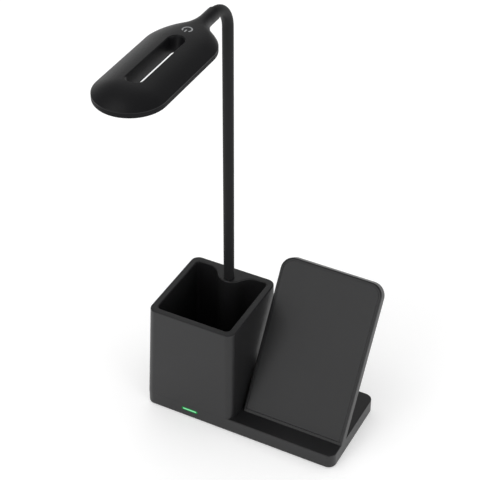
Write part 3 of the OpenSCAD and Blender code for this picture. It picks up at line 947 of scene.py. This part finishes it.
@dataclass
class Neck:
    """The silicone sleeve over the gooseneck, one piece across each joint."""

    x: float = -35.0
    y: float = 21.8
    radius: float = 3.55
    bore: float = 2.75
    low_z: float = 53.6
    bend_z: float = 275.0
    bend_radius: float = 17.4
    bend_angle: float = 90.0
    pivots: tuple[float, ...] = (110.621, 155.656, 200.692, 245.727)
    # How far below and above a joint the sleeve takes part in its bend
    soft: float = 8.0
    bend_soft: float = 6.0
    ring_step: float = 2.5
    turn_step: float = 3.0
    sides: int = 40

    def ring(self, made: Workpiece, radius: float, z: float) -> list[Edge]:
        """Make a circle round the neck at a height and return its edges."""
        circle = bmesh.ops.create_circle(
            made.bm, cap_ends=False, segments=self.sides, radius=radius,
            matrix=Matrix.Translation((self.x, self.y, z)))["verts"]
        return list(dict.fromkeys(e for v in circle for e in v.link_edges))

    def tube(self, low: float, high: float, bend: float = 0.0) -> Workpiece:
        """Make a length of sleeve.

        Args:
            low: Height where it starts.
            high: Height where its straight part ends.
            bend: Angle of the bend that follows, in degrees.

        Returns:
            The closed tube.
        """
        made = Workpiece()
        steps = max(1, round((high - low) / self.ring_step))
        rise = Vector((0, 0, (high - low) / steps))
        centre = Vector((self.x, self.y - self.bend_radius, self.bend_z))
        turns = round(bend / self.turn_step)
        turn = turned(self.turn_step, "X")
        path = [lambda p: p + rise] * steps + [lambda p: centre + turn @ (p - centre)] * turns
        wall = self.bore / self.radius
        for radius in (self.radius, self.bore):
            first = edges = self.ring(made, radius, low)
            start = end = Vector((self.x, self.y, low))
            for step in path:
                edges, end = made.pull(edges, step), step(end)
            if radius == self.radius:
                made.pull(first, lambda p: start.lerp(p, wall))
                made.pull(edges, lambda p: end.lerp(p, wall))
        made.outward()
        return made

    def build(self) -> None:
        """Build the sleeve's pieces, one across each joint."""
        nodes = ["sleeve_root", "sleeve_1", "sleeve_2", "sleeve_3"]
        ends = [self.low_z] + [(a + b) / 2 for a, b in zip(self.pivots, self.pivots[1:])]
        ends.append((self.pivots[-1] + self.bend_z) / 2)
        for i, pivot in enumerate(self.pivots):
            piece = self.tube(ends[i], ends[i + 1]).part(
                f"neck_sleeve_{i + 1}", SLEEVE, "sleeve", None)
            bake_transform(piece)
            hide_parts(nodes[i])
        piece = self.tube(ends[-1], self.bend_z, self.bend_angle).part(
            "neck_bend", SLEEVE, "sleeve", None)
        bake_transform(piece)
        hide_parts("sleeve_4", "sleeve_head")


# --------------------------------------------------------------------- head


def steps_to(start: float, end: float, count: int) -> list[float]:
    """Return even steps from a start, which is left out, to an end."""
    return [start + (end - start) * i / count for i in range(1, count + 1)]


def eased(share: float) -> float:
    """Return a share of the way with a soft start and end."""
    return share * share * (3 - 2 * share)


@dataclass
class Head:
    """The oval lamp head: a domed shell with a slot, its bezel and its diffuser."""

    origin: tuple[float, float, float] = (-35.0, 4.4, 292.4)
    length: float = 96.5
    width: float = 43.5
    bottom_z: float = -4.4
    seam_z: float = -1.3
    dome_rise: float = 6.9
    shell_edge: float = 0.5
    wall: float = 1.8
    gap: float = 0.15
    # A height that lies beyond the head, below or above it
    beyond: float = 12.0

    slot_length: float = 55.2
    slot_width: float = 11.2
    slot_draft: float = 1.9
    slot_round: float = 0.8
    slot_turns: tuple[int, ...] = (20, 40, 60, 72)
    slot_segments: int = 14

    collar: float = 4.3
    collar_length: float = 18.2
    flare_radius: float = 15.0
    waist_share: float = 0.6
    belly_start: float = 4.0
    belly_length: float = 6.0
    inside_drop: float = 2.0

    bezel_edge: float = 0.8
    bezel_seam_edge: float = 0.25
    lip: float = 1.0
    lip_height: float = 0.5
    diffuser_thick: float = 1.0

    mark_radius: float = 2.75
    mark_line: float = 0.85
    mark_opening: float = 42.0
    mark_place: float = 7.9
    # The bar's middle, as a share of the ring's radius
    mark_bar: float = 0.75
    ink_top: float = 0.03
    ink_thick: float = 0.05

    # Sections along the end's arc, the straight, the flare, its fade and the collar
    sections: tuple[int, ...] = (18, 12, 14, 12, 4)
    # Half width of a section that has shrunk to a point
    point: float = 0.001
    sides: int = 36

    def __post_init__(self) -> None:
        """Work out the lines that the sections follow."""
        self.half = self.width / 2
        self.mid_y = -self.collar_length - self.length / 2
        self.straight = (self.length - self.width) / 2
        self.rear_y = self.mid_y + self.straight
        self.slot_straight = (self.slot_length - self.slot_width) / 2
        sag = self.dome_rise - self.shell_edge
        self.dome_radius = (self.half**2 + sag**2) / (2 * sag)
        self.crest_z = self.seam_z + self.dome_rise
        self.dome_z = self.crest_z - self.dome_radius
        self.flare_x = self.collar + self.flare_radius
        self.flare_end = math.sqrt((self.half + self.flare_radius) ** 2 - self.flare_x**2)
        self.touch_share = self.half / (self.half + self.flare_radius)
        self.flare_touch = self.flare_end * self.touch_share

    def flare_half(self, v: float) -> float:
        """Return the flare's half width at a distance behind the rear centre.

        Args:
            v: Distance behind the rear centre.

        Returns:
            Half the width.
        """
        if v >= self.flare_end:
            return self.collar
        if v <= self.flare_touch:
            return self.flare_x * self.touch_share
        return self.flare_x - math.sqrt(self.flare_radius**2 - (self.flare_end - v) ** 2)

    def half_at(self, y: float, inset: float = 0.0) -> float:
        """Return the outline's half width at a station along the head.

        Args:
            y: Station along the head.
            inset: How far the line lies inside the outline.

        Returns:
            Half the width.
        """
        v = abs(y - self.mid_y) - self.straight
        half = self.half - inset
        if v <= 0:
            return half
        if y > self.mid_y and v > self.flare_touch and not inset:
            return self.flare_half(v)
        return math.sqrt(max(0.0, half**2 - v * v))

    def middle_z(self, v: float) -> float:
        """Return the height of the flare's widest line."""
        share = (self.flare_end - v) / (self.flare_end - self.flare_touch)
        return min(1.0, max(0.0, share)) * self.seam_z * self.waist_share

    def top_z(self, x: float, y: float, inset: float = 0.0) -> float:
        """Return the height of the shell's upper surface.

        Args:
            x: Distance from the head's middle plane.
            y: Station along the head.
            inset: How far the surface lies inside the outer one.

        Returns:
            Its height above the neck's axis.
        """
        v = abs(y - self.mid_y) - self.straight
        if y > self.mid_y and v > 0 and not inset:
            return self.rear_z(x, v, self.half_at(y))
        r = math.hypot(x, max(0.0, v))
        return self.dome_z + math.sqrt(max(0.0, (self.dome_radius - inset) ** 2 - r * r))

    def rear_z(self, x: float, v: float, half: float) -> float:
        """Return the upper surface behind the slot, where the dome becomes a round neck.

        Args:
            x: Distance from the head's middle plane.
            v: Distance behind the rear centre.
            half: Half width of the outline there.

        Returns:
            Its height above the neck's axis.
        """
        ease = eased(min(1.0, v / self.flare_end))
        side = self.seam_z + self.shell_edge
        u = min(1.0, abs(x) / half)
        arch = (self.dome_z + math.sqrt(self.dome_radius**2 - (u * self.half) ** 2) - side) / (
            self.crest_z - side)
        form = arch + (math.sqrt(1 - u * u) - arch) * ease
        side += (self.middle_z(v) - side) * ease
        return side + (self.crest_z + (self.collar - self.crest_z) * ease - side) * form

    def low_z(self, x: float, y: float, half: float) -> float:
        """Return the height of the underside, flat below the dome.

        Args:
            x: Distance from the head's middle plane.
            y: Station along the head.
            half: Half width of the outline there.

        Returns:
            Its height above the neck's axis.
        """
        v = y - self.rear_y
        share = min(1.0, max(0.0, (v - self.belly_start) / self.belly_length))
        middle = self.middle_z(v)
        belly = middle - (self.collar + middle) * math.sqrt(max(0.0, 1 - (x / half) ** 2))
        return self.seam_z + (belly - self.seam_z) * eased(share)

    def stations(self, inset: float) -> list[float]:
        """Return the places of the sections, front to back.

        Args:
            inset: How far the sections lie inside the outer surface.

        Returns:
            The sections' y.
        """
        half = self.half - inset
        arc, middle, flare, fade, collar = self.sections
        turns = [math.pi / 2 * i / arc for i in range(arc + 1)]
        front_y = self.mid_y - self.straight
        front = [front_y - half * math.cos(turn) for turn in turns]
        front += steps_to(front_y, self.rear_y, middle)
        if inset:
            return front + [self.rear_y + half * math.sin(turn) for turn in turns[1:]]
        touch_y, end_y = self.rear_y + self.flare_touch, self.rear_y + self.flare_end
        return (front + steps_to(self.rear_y, touch_y, flare) + steps_to(touch_y, end_y, fade)
                + steps_to(end_y, 0.0, collar))

    def loft(self, inset: float = 0.0) -> Workpiece:
        """Loft the shell through its sections.

        Args:
            inset: How far inside the outer surface the loft runs.

        Returns:
            The closed solid.
        """
        made = Workpiece()
        layer = made.bm.verts.layers.int.new("place")
        ring = bmesh.ops.create_circle(
            made.bm, cap_ends=False, segments=2 * self.sides, radius=1.0)["verts"]
        first = edges = list(dict.fromkeys(e for v in ring for e in v.link_edges))
        for vert in ring:
            turn = math.atan2(vert.co.y, vert.co.x) / math.pi * self.sides
            vert[layer] = round(turn) % (2 * self.sides)
        for number, y in enumerate(self.stations(inset)):
            if number:
                edges = made.pull(edges, lambda p: p)
            half = max(self.half_at(y, inset), self.point)
            for vert in ends_of(edges):
                x = half * math.cos(math.pi * vert[layer] / self.sides)
                if vert[layer] <= self.sides:
                    z = self.top_z(x, y, inset)
                else:
                    # The first points below the seam stand upright under the widest ones
                    if vert[layer] in (self.sides + 1, 2 * self.sides - 1):
                        x = math.copysign(half, x)
                    z = self.seam_z - self.inside_drop if inset else self.low_z(x, y, half)
                vert.co = Vector((x, y, z))
        made.fill(first)
        made.fill(edges)
        made.outward()
        return made

    def outline(self, low: float, high: float, inset: float) -> Workpiece:
        """Return an upright prism that follows the head's outline."""
        return oval(self.half - inset, self.length / 2 - inset, self.mid_y, low, high,
                    segments=24)

    def slot(self, low: float, high: float, grow: float) -> Workpiece:
        """Return the slot's upright prism, grown by a wall."""
        return oval(self.slot_width / 2 + grow, self.slot_length / 2 + grow, self.mid_y,
                    low, high, segments=self.slot_segments)

    def slot_cut(self) -> Workpiece:
        """Return the slot itself: drafted walls and a rounded upper edge.

        Returns:
            The solid that is cut away.
        """
        made = Workpiece()
        half, reach = self.slot_width / 2, self.slot_length / 2
        slope = self.slot_draft / (self.crest_z - self.bottom_z)
        face = made.rounded_face(
            (-half, self.mid_y - reach), (half, self.mid_y + reach), self.crest_z,
            (half, half), self.slot_segments)
        start = edges = face.edges[:]

        def out(point: Vector, grow: float) -> Vector:
            """Return a point of the outline, moved out by a distance.

            Args:
                point: The point.
                grow: The distance.

            Returns:
                Its new place, at the height zero.
            """
            middle = self.mid_y + max(-self.slot_straight, min(
                self.slot_straight, point.y - self.mid_y))
            away = Vector((point.x, point.y - middle, 0))
            return Vector((point.x, point.y, 0)) + away.normalized() * grow

        def down(point: Vector) -> Vector:
            """Return the point where the wall's draft ends below the underside."""
            return out(point, (-self.beyond - self.crest_z) * slope) - Vector(
                (0, 0, self.beyond))

        for vert in ends_of(edges):
            vert.co = out(vert.co, -self.slot_round / 2)
            vert.co.z = self.top_z(vert.co.x, vert.co.y) - self.slot_round
        grown = 0.0
        for turn in self.slot_turns:
            angle = math.radians(turn)
            grow = self.slot_round * (1 - math.cos(angle))
            drop = self.slot_round * (1 - math.sin(angle))

            def rise(point: Vector) -> Vector:
                """Return the next point of the rounded edge."""
                moved = out(point, grow - grown)
                return moved + Vector((0, 0, self.top_z(moved.x, moved.y) - drop))

            edges = made.pull(edges, rise)
            grown = grow
        made.fill(made.pull(edges, lambda p: Vector((p.x, p.y, self.beyond))))
        made.drop(face)
        made.fill(made.pull(start, down))
        made.outward()
        return made

    def shell(self) -> Workpiece:
        """Return the domed shell with its flare, collar and slot.

        Returns:
            The closed solid.
        """
        # The solver's threads give a torn mesh once in a while: then it is made again
        for _ in range(JOIN_TRIES):
            body = self.loft()
            body.join(self.outline(-self.beyond, self.seam_z, -self.gap), Join.CUT)
            inside = self.loft(self.wall)
            inside.join(self.slot(-self.beyond, self.beyond, self.wall), Join.CUT)
            body.join(inside, Join.CUT)
            body.join(self.slot(self.bottom_z, 0, self.wall), Join.ADD)
            body.join(self.slot_cut(), Join.CUT)
            if body.closed():
                break
            LOG.warning("the shell was torn and is made again")
        return body

    def bezel(self) -> Workpiece:
        """Return the bezel ring with its soft lower edge and its lip.

        Returns:
            The closed ring.
        """
        made = self.outline(self.bottom_z, self.seam_z, 0)
        made.round_edges(made.edges_at(self.bottom_z), self.bezel_edge)
        made.round_edges(made.edges_at(self.seam_z), self.bezel_seam_edge, 2)
        made.outward()
        low = made.flat_face(-1)
        made.inset(low, self.wall + self.lip - self.bezel_edge)
        ledge = made.sink(made.flat_face(1), self.wall - self.bezel_seam_edge,
                          self.seam_z - self.bottom_z - self.lip_height)
        made.inset(ledge, self.lip)
        loops = low.edges[:] + ledge.edges[:]
        made.drop(low, ledge)
        bmesh.ops.bridge_loops(made.bm, edges=loops)
        made.outward()
        return made

    def diffuser(self) -> Workpiece:
        """Return the opal sheet round the slot.

        Returns:
            The closed sheet.
        """
        low, margin = self.bottom_z + self.lip_height, self.wall + self.gap
        made = self.outline(low, low + self.diffuser_thick, margin)
        made.join(self.slot(-self.beyond, self.beyond, margin), Join.CUT)
        return made

    def power_mark(self) -> Workpiece:
        """Return the plain on-off sign, printed on the ridge behind the slot.

        Returns:
            The layer of ink.
        """
        made = Workpiece()
        radius, line, opening = self.mark_radius, self.mark_line, self.mark_opening
        ring = bmesh.ops.create_grid(made.bm, x_segments=1, y_segments=2, size=0.5)["verts"]
        bmesh.ops.scale(made.bm, vec=Vector((0, line, 1)), verts=ring)
        bmesh.ops.remove_doubles(made.bm, verts=ring, dist=NEAR)
        start = made.bm.edges[:]
        made.place(turned(opening, "Z") @ Matrix.Translation((0, radius, 0)))
        bmesh.ops.spin(
            made.bm, geom=made.bm.verts[:] + start, cent=Vector(), axis=Vector((0, 0, 1)),
            angle=math.radians(360 - 2 * opening), steps=48, use_merge=False)
        bar = bmesh.ops.create_grid(made.bm, x_segments=2, y_segments=8, size=0.5)["verts"]
        bmesh.ops.scale(made.bm, vec=Vector((line, radius, 1)), verts=bar)
        bmesh.ops.translate(made.bm, vec=Vector((0, radius * self.mark_bar, 0)), verts=bar)
        middle = self.mid_y + self.slot_length / 2 + self.mark_place
        made.place(Matrix.Translation((0, middle, 0)) @ turned(180, "Z"))
        for vert in made.bm.verts:
            vert.co.z = self.top_z(vert.co.x, vert.co.y) + self.ink_top
        bmesh.ops.recalc_face_normals(made.bm, faces=made.bm.faces[:])
        bmesh.ops.solidify(made.bm, geom=made.bm.faces[:], thickness=self.ink_thick)
        made.outward()
        return made

    def build(self) -> None:
        """Build the head's pieces and let them ride on the head."""
        for make, name, finish, slot, nodes in (
            (self.shell, "lamp_shell", SHELL, "casing", ("head_shell",)),
            (self.bezel, "lamp_bezel", BEZEL, "bezel", ("head_bezel",)),
            (self.diffuser, "head_diffuser", OPAL, "milk", ("diffuser",)),
            (self.power_mark, "head_power_mark", INK, None, ()),
        ):
            made = make()
            made.place(Matrix.Translation(self.origin))
            made.part(name, finish, slot, "head", *nodes)


# ------------------------------------------------------------------- studio


@dataclass(frozen=True)
class Lamp:
    """A soft square light: its name, its place and width in metres, and its watts."""

    name: str
    place: tuple[float, float, float]
    size: float
    watts: float


@dataclass
class Studio:
    """The pale floor, the soft lights and the camera."""

    # The photograph's camera, fitted to the base, the rim, the plate and the neck
    lens_px: float = 1524.45
    image_px: float = 480.0
    sensor_mm: float = 36.0
    place_mm: tuple[float, float, float] = (336.43, -675.81, 728.41)
    azimuth: float = 27.50
    elevation: float = 37.82
    roll: float = 0.07
    floor_size: float = 12.0
    floor_colour: str = "#e8e8e8"
    # Light that lifts the floor to white where it is seen
    floor_lift: float = 0.3
    # The sky's strength where it is not seen, and where it is: at its foot and above
    sky_fill: float = 0.8
    sky_seen: tuple[float, float] = (1.0, 0.2)
    sky_heights: tuple[float, float] = (0.04, 0.42)
    target: tuple[float, float, float] = (0.0, 0.0, 0.12)
    lamps: tuple[Lamp, ...] = (
        Lamp("key_front", (-0.6, -2.2, 1.2), 1.2, 9.0),
        Lamp("fill_right", (1.9, -0.9, 0.4), 0.9, 9.0),
        Lamp("fill_back_left", (-0.8, 1.6, 1.7), 1.2, 2.5),
        Lamp("soft_above", (-0.7, -0.5, 2.0), 0.8, 3.0),
    )

    def camera(self) -> None:
        """Set the camera to the photograph's place and lens."""
        data = bpy.data.cameras.new("camera")
        data.sensor_width = self.sensor_mm
        data.lens = self.lens_px / self.image_px * self.sensor_mm
        made = add_object("camera", data)
        turn = turned(self.azimuth, "Z") @ turned(90 - self.elevation, "X") @ turned(
            self.roll, "Z")
        made.matrix_world = Matrix.Translation(Vector(self.place_mm) * MM) @ turn
        bpy.context.scene.camera = made

    def seen(self, tree: Tree) -> Socket:
        """Return one for camera, mirror and glass rays, and zero for the rest.

        Args:
            tree: Node tree that takes the nodes.

        Returns:
            The socket with that value.
        """
        path = add_node(tree, "LightPath").outputs
        found = path["Is Camera Ray"]
        for other in ("Is Glossy Ray", "Is Transmission Ray"):
            found = add_node(tree, "Math", links={0: found, 1: path[other]},
                             operation="MAXIMUM").outputs[0]
        return found

    def floor(self) -> None:
        """Lay the floor, white where it is seen and with the lamp's soft shadow."""
        mesh = bpy.data.meshes.new("floor")
        bm = bmesh.new()
        bmesh.ops.create_grid(bm, x_segments=1, y_segments=1, size=self.floor_size / 2)
        bm.to_mesh(mesh)
        bm.free()
        floor = add_object("floor", mesh)
        paint = bpy.data.materials.new("white_paper")
        paint.use_nodes = True
        tree = paint.node_tree
        tree.nodes.clear()
        paper = add_node(tree, "BsdfDiffuse", {"Color": linear(self.floor_colour)})
        lift = add_node(tree, "Math", {1: self.floor_lift}, {0: self.seen(tree)},
                        operation="MULTIPLY")
        glow = add_node(tree, "Emission", links={"Strength": lift.outputs[0]})
        both = add_node(tree, "AddShader", links={0: paper.outputs[0], 1: glow.outputs[0]})
        add_node(tree, "OutputMaterial", links={"Surface": both.outputs[0]})
        mesh.materials.append(paint)

    def world(self) -> None:
        """Set an even sky; where it is seen it is white at its foot and fades upwards."""
        world = bpy.data.worlds.new("studio")
        bpy.context.scene.world = world
        world.use_nodes = True
        tree = world.node_tree
        tree.nodes.clear()
        way = add_node(tree, "TexCoord").outputs["Generated"]
        height = add_node(tree, "SeparateXYZ", links={"Vector": way}).outputs["Z"]
        haze = add_node(
            tree, "MapRange",
            {"From Min": self.sky_heights[0], "From Max": self.sky_heights[1],
             "To Min": self.sky_seen[0], "To Max": self.sky_seen[1]},
            {"Value": height}, interpolation_type="SMOOTHSTEP")
        strength = add_node(
            tree, "Mix", {2: self.sky_fill}, {0: self.seen(tree), 3: haze.outputs["Result"]},
            data_type="FLOAT")
        sky = add_node(tree, "Background", {"Color": (1, 1, 1, 1)},
                       {"Strength": strength.outputs[0]})
        add_node(tree, "OutputWorld", links={"Surface": sky.outputs[0]})

    def hang(self, lamp: Lamp) -> None:
        """Hang a lamp that faces the object.

        Args:
            lamp: What hangs there.
        """
        data = bpy.data.lights.new(lamp.name, "AREA")
        data.size, data.energy = lamp.size, lamp.watts
        made = add_object(lamp.name, data)
        way = Vector(self.target) - Vector(lamp.place)
        made.location = lamp.place
        made.rotation_euler = way.to_track_quat("-Z", "Y").to_euler()

    def build(self) -> None:
        """Set up the whole studio."""
        bpy.context.scene.view_settings.view_transform = "Standard"
        self.camera()
        self.floor()
        self.world()
        for lamp in self.lamps:
            self.hang(lamp)


# -------------------------------------------------------------------- inner


class InnerParts:
    """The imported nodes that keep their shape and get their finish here."""

    finishes: Mapping[Finish, Sequence[str]] = {
        CASING: ("bottom_cover",),
        PAD: ("antislip_pad",),
        ZINC: ("cover_screws", "ballast_plate", "usb_socket", "panel_screws", "neck_nut",
               "head_screws"),
        BOARD: ("control_board", "charger_board", "led_board", "touch_board"),
        PACKAGE: ("board_parts",),
        LENS: ("indicator_window",),
        COPPER: ("charging_coil",),
        FERRITE: ("ferrite_sheet",),
        BRASS: ("neck_ferrule", "head_bush"),
        HOSE: tuple(f"hose_{end}" for end in ("root", "1", "2", "3", "4", "head")),
        PHOSPHOR: ("leds",),
    }

    def build(self) -> None:
        """Give each node its finish."""
        for finish, nodes in self.finishes.items():
            for node in nodes:
                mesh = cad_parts[node].data
                mesh.materials.clear()
                mesh.materials.append(finish.material())
                LOG.info("%s keeps its shape, in %s", node, finish.name)


def main() -> None:
    """Build the lamp and its studio."""
    logging.basicConfig(level=logging.INFO, format="%(name)s: %(message)s")
    for assembly in (Studio(), Casing(), Neck(), Head(), InnerParts()):
        LOG.info("building %s", type(assembly).__name__)
        assembly.build()


if __name__ == "__main__":
    main()
